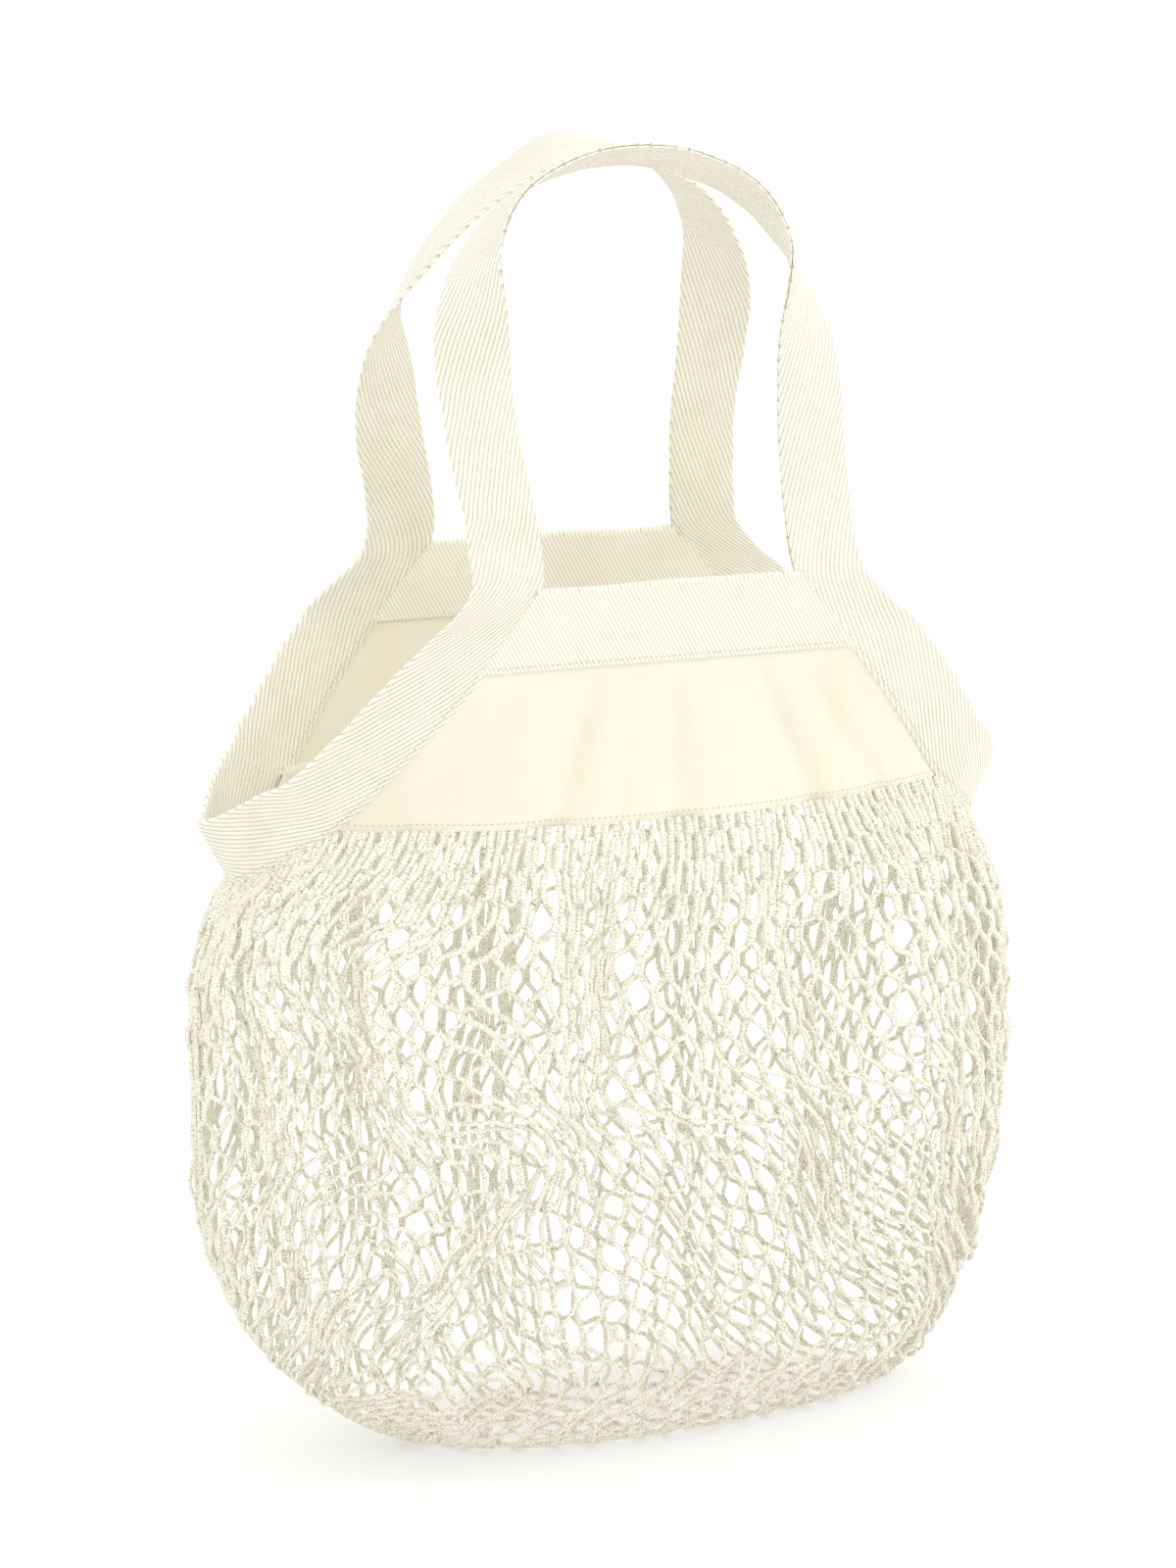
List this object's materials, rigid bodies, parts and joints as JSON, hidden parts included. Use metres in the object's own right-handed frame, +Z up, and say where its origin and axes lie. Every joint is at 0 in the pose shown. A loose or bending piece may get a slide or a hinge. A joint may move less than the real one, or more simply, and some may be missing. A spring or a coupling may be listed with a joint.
{
  "type": "string shopping bag",
  "caption": "Open cotton net shopping bag on a flat oval base, with cloth mouth panels bound in folded twill tape that makes two arched handles.",
  "frame": {"origin": "on the floor, in the middle of the box that the standing bag fills", "axes": "+Z up, +X along the mouth towards its right side fold seen from the front, +Y from the front panel to the back panel"},
  "size_m": [0.3956, 0.1938, 0.5871],
  "materials": {
    "net_string": "knitted undyed cotton string, matt",
    "panel_cotton": "plain-weave undyed cotton, matt",
    "twill_tape": "twill-weave undyed cotton tape, matt"
  },
  "bodies": {
    "root": {"net_body": "net_string", "front_panel": "panel_cotton", "back_panel": "panel_cotton", "front_top_band": "twill_tape", "back_top_band": "twill_tape", "front_handle_tape": "twill_tape", "back_handle_tape": "twill_tape"}
  },
  "joints": []
}
